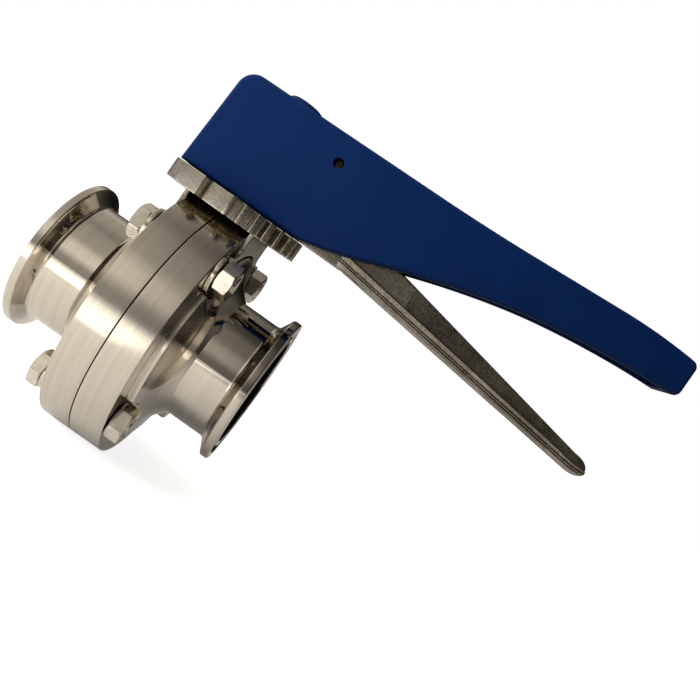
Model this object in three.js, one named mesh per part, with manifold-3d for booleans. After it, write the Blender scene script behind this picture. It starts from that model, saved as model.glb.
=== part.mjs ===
// Hygienic butterfly valve, DN40, with clamp ends and a multi-position squeeze handle.
//
// Frame: millimetres, +Z up. The origin is where the pipe axis (X) meets the stem axis (Z).
// The valve is drawn open: the disc lies in the XZ plane and the handle points along +X.
// Closing turns the stem, the disc and the handle by 90 degrees about Z, towards -Y.

import * as THREE from "three";
import { mergeVertices } from "three/addons/utils/BufferGeometryUtils.js";
import Module from "manifold-3d";

const wasm = await Module();
wasm.setup();

// ---------------------------------------------------------------- driving dimensions

// Pipe ends
const FACE_TO_FACE = 74;
const BORE_R = 19;
const TUBE_R = 20.5;
const FERRULE_R = 25.25;
const FERRULE_RIM = 2.7;
const GROOVE_R = 21.75;
const GROOVE_HALF = 1.4;
const GROOVE_DEPTH = 1.3;

// Flange pair
const FLANGE_R = 41;
const FLANGE_FACE = 10.4;
const PARTING_HALF = 0.15;
const EDGE_CHAMFER = 0.5;
const NECK_R = 33;
const NECK_STEP = 12.7;
const NECK_END = 19;
const BOLT_CIRCLE_R = 35;
const BOLT_HOLE_R = 3.3;
const SPOT_FACE_R = 6.9;

// Seat, bushings and stem
const SEAT_R = 26.2;
const SEAT_HALF = 7.2;
const STEM_R = 6;
const STEM_HOLE_R = 7.2;
const BUSHING_R = 7;
const STEM_BOTTOM = -33.5;
const SQUARE_START = 47.4;
const SQUARE_SIDE = 8;
const STEM_TOP = 72;
const DISC_R = 18.6;

// Index plate
const PLATE_BOTTOM = 39.3;
const PLATE_TOP = 45.4;
const PLATE_R = 22.8;
const TOOTH_TIP_R = 23.4;
const NOTCH_FLOOR_R = 20.6;
const NOTCH_PITCH = 90 / 8;
const NOTCH_COUNT = 9;
const LEG_THICKNESS = 1.5;
const LEG_HALF_WIDTH = 16.5;
const EAR_R = 6.3;

// Handle, drive hub and trigger
const HANDLE_HALF_WIDTH = 11;
const HANDLE_BOTTOM = 45.75;
const SLOT_HALF_WIDTH = 6.6;
const HUB_HALF = 7.5;
const HUB_TOP = 72.6;
const PIN_X = 19.15;
const PIN_Z = 70.9;
const PIN_R = 1.5;
const LEVER_FLANGE_HALF = 5.6;
const LEVER_WEB_HALF = 2.6;

// M6 fasteners
const M6_R = 3;
const HEX_ACROSS_FLATS = 10;
const HEAD_HEIGHT = 4;
const NUT_HEIGHT = 5;
const LOCK_WASHER = 1.5;

// Running and assembly clearances
const FIT = 0.15;
const GAP = 0.3;

// ---------------------------------------------------------------- materials

const polishedSteel = new THREE.MeshStandardMaterial({ color: 0xb9b3a6, roughness: 0.28, metalness: 1 });
const castSteel = new THREE.MeshStandardMaterial({ color: 0x8d8473, roughness: 0.5, metalness: 1 });
const fastenerSteel = new THREE.MeshStandardMaterial({ color: 0xa8a297, roughness: 0.35, metalness: 1 });
const bluePlastic = new THREE.MeshStandardMaterial({ color: 0x12305c, roughness: 0.45, metalness: 0 });
const silicone = new THREE.MeshStandardMaterial({ color: 0xd8d4ca, roughness: 0.6, metalness: 0 });
const whitePolymer = new THREE.MeshStandardMaterial({ color: 0xe8e6e0, roughness: 0.5, metalness: 0 });

// ---------------------------------------------------------------- solid helpers

const QUARTER = Math.PI / 2;

function solid(geometry) {
  const bare = geometry.index ? geometry.toNonIndexed() : geometry.clone();
  bare.deleteAttribute("normal");
  bare.deleteAttribute("uv");
  const merged = mergeVertices(bare, 1e-4);
  const mesh = new wasm.Mesh({
    numProp: 3,
    vertProperties: new Float32Array(merged.attributes.position.array),
    triVerts: new Uint32Array(merged.index.array),
  });
  mesh.merge();
  return new wasm.Manifold(mesh);
}

function toGeometry(body) {
  const mesh = body.getMesh();
  const geometry = new THREE.BufferGeometry();
  geometry.setAttribute("position", new THREE.BufferAttribute(new Float32Array(mesh.vertProperties), 3));
  geometry.setIndex(new THREE.BufferAttribute(new Uint32Array(mesh.triVerts), 1));
  return geometry;
}

const joined = (first, ...others) => others.reduce((sum, body) => sum.add(body), first);
const cut = (first, ...others) => others.reduce((rest, body) => rest.subtract(body), first);

function box(x0, x1, y0, y1, z0, z1) {
  const geometry = new THREE.BoxGeometry(x1 - x0, y1 - y0, z1 - z0);
  geometry.translate((x0 + x1) / 2, (y0 + y1) / 2, (z0 + z1) / 2);
  return solid(geometry);
}

function cylinderX(radius, x0, x1, y = 0, z = 0, sides = 32) {
  const geometry = new THREE.CylinderGeometry(radius, radius, x1 - x0, sides);
  geometry.rotateZ(-QUARTER);
  geometry.translate((x0 + x1) / 2, y, z);
  return solid(geometry);
}

function cylinderY(radius, y0, y1, x = 0, z = 0, sides = 24) {
  const geometry = new THREE.CylinderGeometry(radius, radius, y1 - y0, sides);
  geometry.translate(x, (y0 + y1) / 2, z);
  return solid(geometry);
}

function cylinderZ(radius, z0, z1, x = 0, y = 0, sides = 32) {
  const geometry = new THREE.CylinderGeometry(radius, radius, z1 - z0, sides);
  geometry.rotateX(QUARTER);
  geometry.translate(x, y, (z0 + z1) / 2);
  return solid(geometry);
}

// A closed profile of [radius, height] points, turned about the lathe's own axis (Y).
function turned(profile, sides) {
  const points = profile.map(([radius, height]) => new THREE.Vector2(radius, height));
  return new THREE.LatheGeometry(points, sides);
}

function turnedAboutX(profile, sides = 48) {
  const geometry = turned(profile, sides);
  geometry.rotateZ(-QUARTER);
  return solid(geometry);
}

function turnedAboutZ(profile, sides = 32) {
  const geometry = turned(profile, sides);
  geometry.rotateX(QUARTER);
  return solid(geometry);
}

// A flat outline given as a THREE.Shape in (x, z), thickened along Y from y0 to y1.
function slabXZ(shape, y0, y1, curveSegments = 6) {
  const geometry = new THREE.ExtrudeGeometry(shape, { depth: y1 - y0, bevelEnabled: false, curveSegments });
  geometry.rotateX(QUARTER);
  geometry.translate(0, y1, 0);
  return solid(geometry);
}

function slabXY(shape, z0, z1, curveSegments = 6) {
  const geometry = new THREE.ExtrudeGeometry(shape, { depth: z1 - z0, bevelEnabled: false, curveSegments });
  geometry.translate(0, 0, z0);
  return solid(geometry);
}

// An outline in (y, z), thickened along X from x0 to x1.
function slabYZ(shape, x0, x1, curveSegments = 8) {
  const geometry = new THREE.ExtrudeGeometry(shape, { depth: x1 - x0, bevelEnabled: false, curveSegments });
  geometry.rotateY(QUARTER);
  geometry.rotateX(QUARTER);
  geometry.translate(x0, 0, 0);
  return solid(geometry);
}

function outline(points) {
  return new THREE.Shape(points.map(([a, b]) => new THREE.Vector2(a, b)));
}

const valve = new THREE.Group();
valve.name = "butterfly_valve";

function place(name, body, material) {
  const mesh = new THREE.Mesh(toGeometry(body), material);
  mesh.name = name;
  valve.add(mesh);
  return mesh;
}

// ---------------------------------------------------------------- body halves and seat

const boltAngles = [1, 3, 5, 7].map((step) => step * Math.PI / 4);
const boltPlaces = boltAngles.map((angle) => [
  BOLT_CIRCLE_R * Math.cos(angle),
  BOLT_CIRCLE_R * Math.sin(angle),
]);

// The trumpet-shaped neck between the flange and the tube, as [radius, distance] points.
function neckCurve() {
  const curve = new THREE.QuadraticBezierCurve(
    new THREE.Vector2(NECK_R - 0.5, NECK_STEP),
    new THREE.Vector2(TUBE_R + 4, NECK_STEP + 1),
    new THREE.Vector2(TUBE_R, NECK_END),
  );
  return curve.getPoints(6).map((point) => [point.x, point.y]);
}

// Radius against distance from the parting plane, for one body half.
function bodyProfile() {
  const end = FACE_TO_FACE / 2;
  const rimStart = end - FERRULE_RIM;
  return [
    [SEAT_R + GAP, PARTING_HALF],
    [FLANGE_R - EDGE_CHAMFER, PARTING_HALF],
    [FLANGE_R, PARTING_HALF + EDGE_CHAMFER],
    [FLANGE_R, FLANGE_FACE - EDGE_CHAMFER],
    [FLANGE_R - EDGE_CHAMFER, FLANGE_FACE],
    [NECK_R, FLANGE_FACE],
    [NECK_R, NECK_STEP - 0.4],
    ...neckCurve(),
    [TUBE_R, rimStart - 3.2],
    [TUBE_R + 0.7, rimStart - 2],
    [TUBE_R + 2, rimStart - 1.1],
    [FERRULE_R - 0.3, rimStart - 0.1],
    [FERRULE_R, rimStart + 0.3],
    [FERRULE_R, end - 0.3],
    [FERRULE_R - 0.3, end],
    [GROOVE_R + GROOVE_HALF, end],
    [GROOVE_R + GROOVE_HALF / 2, end - GROOVE_DEPTH],
    [GROOVE_R - GROOVE_HALF / 2, end - GROOVE_DEPTH],
    [GROOVE_R - GROOVE_HALF, end],
    [BORE_R, end],
    [BORE_R, SEAT_HALF + GAP],
    [SEAT_R + GAP, SEAT_HALF + GAP],
    [SEAT_R + GAP, PARTING_HALF],
  ];
}

function bodyHalf(side) {
  const full = turnedAboutX(bodyProfile());
  const holes = boltPlaces.map(([y, z]) => cylinderX(BOLT_HOLE_R, 0, FLANGE_FACE + 1, y, z, 20));
  const spotFaces = boltPlaces.map(([y, z]) => cylinderX(SPOT_FACE_R, FLANGE_FACE, NECK_END, y, z, 24));
  const upperStemHole = cylinderZ(STEM_HOLE_R, 20, FLANGE_R + 1);
  const lowerStemHole = cylinderZ(STEM_HOLE_R, STEM_BOTTOM - 1.2, -20);
  const half = cut(full, ...holes, ...spotFaces, upperStemHole, lowerStemHole);
  return side > 0 ? half : half.rotate([0, 0, 180]);
}

function seatRing() {
  const crown = 0.5;
  const ring = turnedAboutX([
    [BORE_R + crown, -SEAT_HALF],
    [SEAT_R, -SEAT_HALF],
    [SEAT_R, SEAT_HALF],
    [BORE_R + crown, SEAT_HALF],
    [BORE_R, SEAT_HALF - 2],
    [BORE_R, 2 - SEAT_HALF],
    [BORE_R + crown, -SEAT_HALF],
  ]);
  return cut(ring, cylinderZ(STEM_R + FIT, -30, 30));
}

function bushing(z0, z1) {
  return turnedAboutZ([
    [STEM_R + 0.1, z0],
    [BUSHING_R, z0],
    [BUSHING_R, z1],
    [STEM_R + 0.1, z1],
    [STEM_R + 0.1, z0],
  ]);
}

function stemSeal(z) {
  const ring = new THREE.TorusGeometry(5.25, 0.7, 8, 28);
  ring.translate(0, 0, z);
  return solid(ring);
}

place("body_right", bodyHalf(1), polishedSteel);
place("body_left", bodyHalf(-1), polishedSteel);
place("seat_ring", seatRing(), silicone);
place("upper_bushing", bushing(SEAT_R + 1, 40), whitePolymer);
place("lower_bushing", bushing(STEM_BOTTOM, -SEAT_R - 1), whitePolymer);
place("stem_seal", stemSeal(37), silicone);

// ---------------------------------------------------------------- disc and stem

const SEAL_GROOVE_R = 4.4;

function discPlate() {
  const geometry = turned([
    [0, -4.6],
    [9, -3.4],
    [17.6, -1.5],
    [DISC_R, -0.7],
    [DISC_R, 0.7],
    [17.6, 1.5],
    [9, 3.4],
    [0, 4.6],
  ], 48);
  return solid(geometry);
}

function discAndStem() {
  const stem = turnedAboutZ([
    [0, STEM_BOTTOM + 0.4],
    [STEM_R - 0.5, STEM_BOTTOM + 0.4],
    [STEM_R, STEM_BOTTOM + 0.9],
    [STEM_R, 36],
    [SEAL_GROOVE_R, 36],
    [SEAL_GROOVE_R, 38],
    [STEM_R, 38],
    [STEM_R, SQUARE_START],
    [0, SQUARE_START],
  ]);
  const half = SQUARE_SIDE / 2;
  const square = box(-half, half, -half, half, SQUARE_START - 1, STEM_TOP);
  const tapping = cylinderZ(M6_R + 0.1, STEM_TOP - 15, STEM_TOP + 1, 0, 0, 20);
  return cut(joined(stem, discPlate(), square), tapping);
}

place("disc_and_stem", discAndStem(), polishedSteel);

// ---------------------------------------------------------------- index plate

const radians = (degrees) => degrees * Math.PI / 180;
const polar = (radius, degrees) => [radius * Math.cos(radians(degrees)), radius * Math.sin(radians(degrees))];

function arcPoints(radius, from, to, step = 9) {
  const count = Math.max(1, Math.round(Math.abs(to - from) / step));
  return Array.from({ length: count + 1 }, (_, i) => polar(radius, from + (to - from) * i / count));
}

// One narrow tooth, listed in the direction of falling angle.
function toothPoints(centre) {
  const rootHalf = 2.6;
  const tipHalf = 1.7;
  return [
    polar(NOTCH_FLOOR_R, centre + rootHalf),
    polar(TOOTH_TIP_R, centre + tipHalf),
    polar(TOOTH_TIP_R, centre - tipHalf),
    polar(NOTCH_FLOOR_R, centre - rootHalf),
  ];
}

// The rim carries a tooth between each pair of handle positions, a wide relief past
// the closed position and a plain lug at each end that stops the handle.
function platePoints() {
  const teeth = Array.from({ length: NOTCH_COUNT - 1 }, (_, i) => -NOTCH_PITCH * (i + 0.5));
  return [
    ...arcPoints(TOOTH_TIP_R, 42, 18, 8),
    ...arcPoints(NOTCH_FLOOR_R, 16.4, 8, 8),
    ...teeth.flatMap(toothPoints),
    ...arcPoints(NOTCH_FLOOR_R, -96, -106, 10),
    ...arcPoints(TOOTH_TIP_R + 0.4, -108, -132, 8),
    ...arcPoints(PLATE_R, -136, -314, 9),
  ];
}

// Side plate of the saddle: hangs over the flange face and is held under two bolts.
function legShape() {
  const earY = BOLT_CIRCLE_R * Math.SQRT1_2;
  const earZ = earY;
  const innerR = NECK_R + 0.6;
  // The ear circle meets the inner arc at this angle, seen from the bolt and from the pipe axis.
  const reach = (BOLT_CIRCLE_R ** 2 + EAR_R ** 2 - innerR ** 2) / (2 * BOLT_CIRCLE_R * EAR_R);
  const earEnd = 0.75 * Math.PI + Math.acos(reach);
  const corner = Math.atan2(earY + EAR_R * Math.cos(earEnd), earZ - EAR_R * Math.sin(earEnd));
  const shape = new THREE.Shape();
  shape.moveTo(LEG_HALF_WIDTH, PLATE_BOTTOM + 1);
  shape.lineTo(LEG_HALF_WIDTH, 32.5);
  shape.lineTo(earY, earZ + EAR_R);
  shape.absarc(earY, earZ, EAR_R, QUARTER, -earEnd, true);
  shape.absarc(0, 0, innerR, QUARTER - corner, QUARTER + corner, false);
  shape.absarc(-earY, earZ, EAR_R, Math.PI + earEnd, QUARTER, true);
  shape.lineTo(-LEG_HALF_WIDTH, 32.5);
  shape.lineTo(-LEG_HALF_WIDTH, PLATE_BOTTOM + 1);
  return shape;
}

function indexPlate() {
  const top = slabXY(outline(platePoints()), PLATE_BOTTOM, PLATE_TOP);
  const flangeRelief = cylinderX(FLANGE_R + 0.4, -FLANGE_FACE - GAP, FLANGE_FACE + GAP, 0, 0, 64);
  const stemHole = cylinderZ(STEM_R + 0.8, PLATE_BOTTOM - 1, PLATE_TOP + 1);
  const legStart = FLANGE_FACE + 0.05;
  const rightLeg = slabYZ(legShape(), legStart, legStart + LEG_THICKNESS);
  const leftLeg = slabYZ(legShape(), -legStart - LEG_THICKNESS, -legStart);
  const upperBolts = boltPlaces.filter(([, z]) => z > 0);
  const earHoles = upperBolts.map(([y, z]) => cylinderX(BOLT_HOLE_R, -20, 20, y, z, 20));
  return cut(joined(cut(top, flangeRelief), rightLeg, leftLeg), stemHole, ...earHoles);
}

place("index_plate", indexPlate(), castSteel);

// ---------------------------------------------------------------- handle and drive

// Side outline of the moulded grip, from the head's lower corner along the underside.
function handleShape() {
  const shape = new THREE.Shape();
  shape.moveTo(-20.1, HANDLE_BOTTOM);
  shape.lineTo(20, HANDLE_BOTTOM);
  shape.quadraticCurveTo(30, 47.2, 42, 52);
  shape.quadraticCurveTo(72, 63.6, 96, 68);
  shape.quadraticCurveTo(118, 71.9, 138.6, 72.6);
  shape.quadraticCurveTo(140.9, 72.7, 140.8, 75);
  shape.lineTo(140.5, 82);
  shape.quadraticCurveTo(140.3, 84.4, 137.5, 84.7);
  shape.quadraticCurveTo(124, 85.6, 112, 84.5);
  shape.lineTo(78, 81.9);
  shape.quadraticCurveTo(62, 80.8, 48, 80.4);
  shape.lineTo(14, 79.4);
  shape.lineTo(-12.6, 78.7);
  shape.quadraticCurveTo(-18.1, 78.4, -18.4, 73.4);
  shape.lineTo(-20.1, HANDLE_BOTTOM);
  return shape;
}

// Channel under the grip that the trigger lever swings up into.
function slotShape() {
  return outline([
    [HUB_HALF + 1.6, HANDLE_BOTTOM - 2],
    [56, 48],
    [136, 66],
    [136, 80.8],
    [60, 77.2],
    [HUB_HALF + 1.6, 77.2],
  ]);
}

// Keeps the grip full width at the head and slims it towards the tip.
function gripTaper() {
  const tip = 145;
  return outline([
    [-30, -HANDLE_HALF_WIDTH],
    [24, -HANDLE_HALF_WIDTH],
    [80, -HANDLE_HALF_WIDTH + 1.5],
    [tip, -HANDLE_HALF_WIDTH + 2],
    [tip, HANDLE_HALF_WIDTH - 2],
    [80, HANDLE_HALF_WIDTH - 1.5],
    [24, HANDLE_HALF_WIDTH],
    [-30, HANDLE_HALF_WIDTH],
  ]);
}

const SCREW_POCKET_R = 6.4;

function handleBody() {
  const blank = slabXZ(handleShape(), -HANDLE_HALF_WIDTH, HANDLE_HALF_WIDTH);
  const tapered = blank.intersect(slabXY(gripTaper(), HANDLE_BOTTOM - 5, 90));
  const pocket = HUB_HALF + FIT;
  return cut(
    tapered,
    slabXZ(slotShape(), -SLOT_HALF_WIDTH, SLOT_HALF_WIDTH),
    box(-pocket, pocket, -pocket, pocket, HANDLE_BOTTOM - 1, HUB_TOP + FIT),
    cylinderZ(SCREW_POCKET_R, HUB_TOP - 1, 90),
    cylinderY(PIN_R + 0.1, -HANDLE_HALF_WIDTH - 1, HANDLE_HALF_WIDTH + 1, PIN_X, PIN_Z),
  );
}

function driveHub() {
  const hole = SQUARE_SIDE / 2 + FIT;
  const block = box(-HUB_HALF, HUB_HALF, -HUB_HALF, HUB_HALF, HANDLE_BOTTOM + 0.2, HUB_TOP);
  const seat = cylinderZ(STEM_R + 0.4, HANDLE_BOTTOM - 1, SQUARE_START + 0.6);
  return cut(block, box(-hole, hole, -hole, hole, HANDLE_BOTTOM - 1, HUB_TOP + 1), seat);
}

function hexPrism(height, acrossFlats) {
  const prism = new THREE.CylinderGeometry(acrossFlats / Math.sqrt(3), acrossFlats / Math.sqrt(3), height, 6);
  prism.translate(0, height / 2, 0);
  return prism;
}

// Rounds the corners of a hexagon the way a turned chamfer does, on top or on both faces.
function chamferedHex(height, acrossFlats, bothFaces) {
  const corner = acrossFlats / Math.sqrt(3);
  const flat = acrossFlats / 2 - 0.2;
  const lift = 0.55;
  const cone = turned([
    [0, 0],
    [bothFaces ? flat : corner + 0.1, 0],
    [corner + 0.1, bothFaces ? lift : 0.01],
    [corner + 0.1, height - lift],
    [flat, height],
    [0, height],
  ], 24);
  return solid(hexPrism(height, acrossFlats)).intersect(solid(cone));
}

function headScrew() {
  const head = chamferedHex(HEAD_HEIGHT, HEX_ACROSS_FLATS, false).rotate([90, 0, 0]);
  const washerTop = HUB_TOP + 1.7;
  const shank = cylinderZ(M6_R - 0.1, washerTop - 14, washerTop + 1, 0, 0, 20);
  return joined(head.translate([0, 0, washerTop + 0.05]), shank);
}

function headWasher() {
  return turnedAboutZ([
    [M6_R + 0.2, HUB_TOP + 0.05],
    [6, HUB_TOP + 0.05],
    [6, HUB_TOP + 1.65],
    [M6_R + 0.2, HUB_TOP + 1.65],
    [M6_R + 0.2, HUB_TOP + 0.05],
  ]);
}

// Moulded plug that closes the screw pocket and stands slightly proud of the head.
function screwCap() {
  const base = 78.6;
  return turnedAboutZ([
    [0, base],
    [SCREW_POCKET_R - FIT, base],
    [SCREW_POCKET_R - FIT, 80],
    [5.4, 80.9],
    [3.6, 81.45],
    [0, 81.65],
  ]);
}

place("handle_body", handleBody(), bluePlastic);
place("drive_hub", driveHub(), castSteel);
place("head_washer", headWasher(), fastenerSteel);
place("head_screw", headScrew(), fastenerSteel);
place("screw_cap", screwCap(), bluePlastic);

// ---------------------------------------------------------------- trigger, pin and spring

// The web carries the pivot eye, the nose above the notches and the tapering arm.
function leverWebShape() {
  const eye = 4.3;
  const shape = new THREE.Shape();
  shape.moveTo(PIN_X - eye, PIN_Z);
  shape.absarc(PIN_X, PIN_Z, eye, Math.PI, 0.1, true);
  shape.quadraticCurveTo(27, 62, 44, 58);
  shape.lineTo(53.8, 56);
  shape.lineTo(129, 41.93);
  shape.quadraticCurveTo(134.8, 40.7, 134.4, 38.3);
  shape.quadraticCurveTo(134, 35.35, 130, 35.68);
  shape.lineTo(35.2, PLATE_TOP + 0.6);
  shape.lineTo(19.3, PLATE_TOP + 0.6);
  shape.lineTo(17.5, 55);
  shape.lineTo(PIN_X - eye, PIN_Z);
  return shape;
}

// Lower flange of the arm, which the fingers pull on.
function leverFlangeShape() {
  const shape = new THREE.Shape();
  shape.moveTo(35.2, PLATE_TOP + 0.6);
  shape.lineTo(36, 49.7);
  shape.lineTo(128.5, 38.76);
  shape.quadraticCurveTo(133.8, 38.15, 134, 37.35);
  shape.quadraticCurveTo(134, 35.35, 130, 35.68);
  shape.lineTo(35.2, PLATE_TOP + 0.6);
  return shape;
}

function triggerLever() {
  const web = slabXZ(leverWebShape(), -LEVER_WEB_HALF, LEVER_WEB_HALF);
  const flange = slabXZ(leverFlangeShape(), -LEVER_FLANGE_HALF, LEVER_FLANGE_HALF);
  const eyeBoss = cylinderY(4.3, -5.6, 5.6, PIN_X, PIN_Z);
  const springSeat = cylinderZ(2.2, 55, 61, SPRING_X, 0, 16);
  const pinHole = cylinderY(PIN_R + 0.1, -7, 7, PIN_X, PIN_Z);
  return cut(joined(web, flange, eyeBoss, springSeat), pinHole);
}

const SPRING_X = 44;
const SPRING_COIL_R = 3.6;
const SPRING_WIRE_R = 0.5;
const SPRING_TURNS = 6;
const SPRING_BOTTOM = 59.2;
const SPRING_TOP = 76.4;

class Helix extends THREE.Curve {
  getPoint(t) {
    const turn = t * SPRING_TURNS * 2 * Math.PI;
    const height = SPRING_BOTTOM + SPRING_WIRE_R
      + t * (SPRING_TOP - SPRING_BOTTOM - 2 * SPRING_WIRE_R);
    return new THREE.Vector3(
      SPRING_X + SPRING_COIL_R * Math.cos(turn),
      SPRING_COIL_R * Math.sin(turn),
      height,
    );
  }
}

function triggerSpring() {
  const section = new THREE.Shape();
  section.absarc(0, 0, SPRING_WIRE_R, 0, 2 * Math.PI, false);
  const wire = new THREE.ExtrudeGeometry(section, {
    steps: SPRING_TURNS * 14,
    extrudePath: new Helix(),
    curveSegments: 3,
    bevelEnabled: false,
  });
  return solid(wire);
}

place("trigger_lever", triggerLever(), castSteel);
place("trigger_pin", cylinderY(PIN_R, -8.6, 8.6, PIN_X, PIN_Z), fastenerSteel);
place("trigger_spring", triggerSpring(), fastenerSteel);

// ---------------------------------------------------------------- flange fasteners

// Clamped is what stands between flange and nut, washer what stands under the head.
function flangeBolt(clamped, washer) {
  const headStart = FLANGE_FACE + clamped + washer + 0.1;
  const end = FLANGE_FACE + clamped + NUT_HEIGHT + 0.4;
  const head = chamferedHex(HEAD_HEIGHT, HEX_ACROSS_FLATS, false).rotate([0, 0, 90]);
  const shank = cylinderX(M6_R - 0.1, -headStart - 1, end, 0, 0, 20);
  return joined(head.translate([-headStart, 0, 0]), shank);
}

function flangeNut(clamped) {
  const start = FLANGE_FACE + clamped + 0.05;
  const nut = chamferedHex(NUT_HEIGHT, HEX_ACROSS_FLATS, true).rotate([0, 0, -90]);
  return cut(nut, cylinderX(M6_R + 0.1, -1, NUT_HEIGHT + 1, 0, 0, 20)).translate([start, 0, 0]);
}

// Split spring washer.
function lockWasher() {
  const start = FLANGE_FACE + 0.05;
  const ring = turnedAboutX([
    [M6_R + 0.2, start],
    [5.1, start],
    [5.1, start + LOCK_WASHER],
    [M6_R + 0.2, start + LOCK_WASHER],
    [M6_R + 0.2, start],
  ], 28);
  const split = box(start - 1, start + LOCK_WASHER + 1, -0.35, 0.35, 1, 7);
  return cut(ring, split).rotate([0, 0, 180]);
}

const boltNames = ["upper_back", "upper_front", "lower_front", "lower_back"];

// The upper bolts hold the saddle's ears, the lower ones have a spring washer instead.
boltPlaces.forEach(([y, z], i) => {
  const upper = z > 0;
  const clamped = upper ? LEG_THICKNESS + 0.05 : 0;
  const move = (body) => body.translate([0, y, z]);
  place(`bolt_${boltNames[i]}`, move(flangeBolt(clamped, upper ? 0 : LOCK_WASHER)), fastenerSteel);
  place(`nut_${boltNames[i]}`, move(flangeNut(clamped)), fastenerSteel);
  if (!upper) place(`lock_washer_${boltNames[i]}`, move(lockWasher()), fastenerSteel);
});

export default valve;
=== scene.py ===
import math

import bmesh
import bpy
from mathutils import Matrix, Vector


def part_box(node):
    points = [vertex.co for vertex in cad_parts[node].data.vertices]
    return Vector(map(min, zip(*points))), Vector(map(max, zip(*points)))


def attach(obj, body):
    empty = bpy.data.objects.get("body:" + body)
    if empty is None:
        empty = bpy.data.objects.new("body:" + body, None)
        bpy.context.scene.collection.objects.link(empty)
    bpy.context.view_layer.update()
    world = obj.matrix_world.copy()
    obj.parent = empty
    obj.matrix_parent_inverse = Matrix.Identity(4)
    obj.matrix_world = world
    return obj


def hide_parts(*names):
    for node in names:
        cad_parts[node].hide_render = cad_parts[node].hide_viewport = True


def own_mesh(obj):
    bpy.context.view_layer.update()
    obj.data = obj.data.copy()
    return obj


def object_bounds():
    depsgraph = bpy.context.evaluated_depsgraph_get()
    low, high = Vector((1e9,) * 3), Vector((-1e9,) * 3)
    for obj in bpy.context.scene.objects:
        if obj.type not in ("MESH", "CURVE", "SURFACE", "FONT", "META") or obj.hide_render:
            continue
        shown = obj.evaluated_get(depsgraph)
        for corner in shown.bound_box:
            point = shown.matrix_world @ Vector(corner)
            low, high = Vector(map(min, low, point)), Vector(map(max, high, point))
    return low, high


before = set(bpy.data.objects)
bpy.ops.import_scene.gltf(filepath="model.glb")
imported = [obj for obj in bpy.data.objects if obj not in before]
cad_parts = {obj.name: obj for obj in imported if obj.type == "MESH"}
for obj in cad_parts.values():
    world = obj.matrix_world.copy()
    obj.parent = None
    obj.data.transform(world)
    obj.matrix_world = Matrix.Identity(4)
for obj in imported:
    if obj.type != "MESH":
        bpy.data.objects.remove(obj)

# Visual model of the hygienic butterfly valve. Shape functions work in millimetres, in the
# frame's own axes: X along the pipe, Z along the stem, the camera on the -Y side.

cad_lo, cad_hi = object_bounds()
MM = 0.001
TURN = 2 * math.pi


# ------------------------------------------------------------------ sizes from the frame

def box_mm(node):
    low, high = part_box(node)
    return [c / MM for c in low], [c / MM for c in high]


def middle(node):
    low, high = box_mm(node)
    return [(a + b) / 2 for a, b in zip(low, high)]


half_lo, half_hi = box_mm("body_right")
plate_top = box_mm("index_plate")[1][2]
handle_lo, handle_hi = box_mm("handle_body")
lever_lo, lever_hi = box_mm("trigger_lever")
seat_hi = box_mm("seat_ring")[1]
disc_lo, disc_hi = box_mm("disc_and_stem")
hub_lo, hub_hi = box_mm("drive_hub")
spring_lo, spring_hi = box_mm("trigger_spring")
pin_x, _, pin_z = middle("trigger_pin")

FACE = half_hi[0]
PARTING = half_lo[0]
FLANGE_R = half_hi[2]
SEAT_R = seat_hi[2]
SEAT_HALF = seat_hi[0]
BOLT_Y, BOLT_Z = [abs(c) for c in middle("nut_lower_front")[1:]]
HALF_WIDTH = handle_hi[1]
HANDLE_BOTTOM = handle_lo[2]
HUB_HALF = hub_hi[0]
HUB_TOP = hub_hi[2]

# Sizes inside the pieces, which no box shows.
BORE_R = 19
TUBE_R = 20.5
FERRULE_R = 25.25
FLANGE_FACE = 10.4
NECK_R = 33
NECK_STEP = 12.7
NECK_END = 19
STEM_R = 6
STEM_HOLE_R = 7.2
DISC_R = 18.6
PLATE_UNDERSIDE = 39.3
LEG_INNER = 10.45
LEG_OUTER = 11.95
PIN_R = 1.5
M6_R = 3
BOLT_HOLE_R = 3.3
POCKET_GAP = 0.3
GASKET_DEPTH = 1.3


# ------------------------------------------------------------------ outlines

def arc(cu, cv, radius, start, end, steps):
    """Points on a circle, angles in degrees."""
    angles = [math.radians(start + (end - start) * i / steps) for i in range(steps + 1)]
    return [(cu + radius * math.cos(a), cv + radius * math.sin(a)) for a in angles]


def rounded(corners, closed=True, steps=5):
    """An outline from (u, v, radius) corners, each corner turned into an arc."""
    out = []
    count = len(corners)
    for i, (u, v, radius) in enumerate(corners):
        here = Vector((u, v))
        end_point = not closed and i in (0, count - 1)
        if radius == 0 or end_point:
            out.append((u, v))
            continue
        back = Vector(corners[i - 1][:2]) - here
        ahead = Vector(corners[(i + 1) % count][:2]) - here
        room = 0.48 * min(back.length, ahead.length)
        half = back.angle(ahead) / 2
        reach = min(radius / math.tan(half), room)
        if reach < 1e-4 or half > math.pi / 2 - 0.01:
            out.append((u, v))
            continue
        fillet = reach * math.tan(half)
        centre = here + (back.normalized() + ahead.normalized()).normalized() * fillet / math.sin(half)
        first = here + back.normalized() * reach - centre
        last = here + ahead.normalized() * reach - centre
        sweep = first.angle_signed(last)
        for k in range(steps + 1):
            turned = Matrix.Rotation(-sweep * k / steps, 2) @ first
            out.append(tuple(centre + turned))
    return out


def bezier(start, control, end, steps=10):
    points = []
    for i in range(steps + 1):
        t = i / steps
        weights = (1 - t) ** 2, 2 * t * (1 - t), t ** 2
        near = list(zip(weights, (start, control, end)))
        points.append(tuple(sum(w * p[k] for w, p in near) for k in (0, 1)))
    return points


# ------------------------------------------------------------------ mesh helpers

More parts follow.
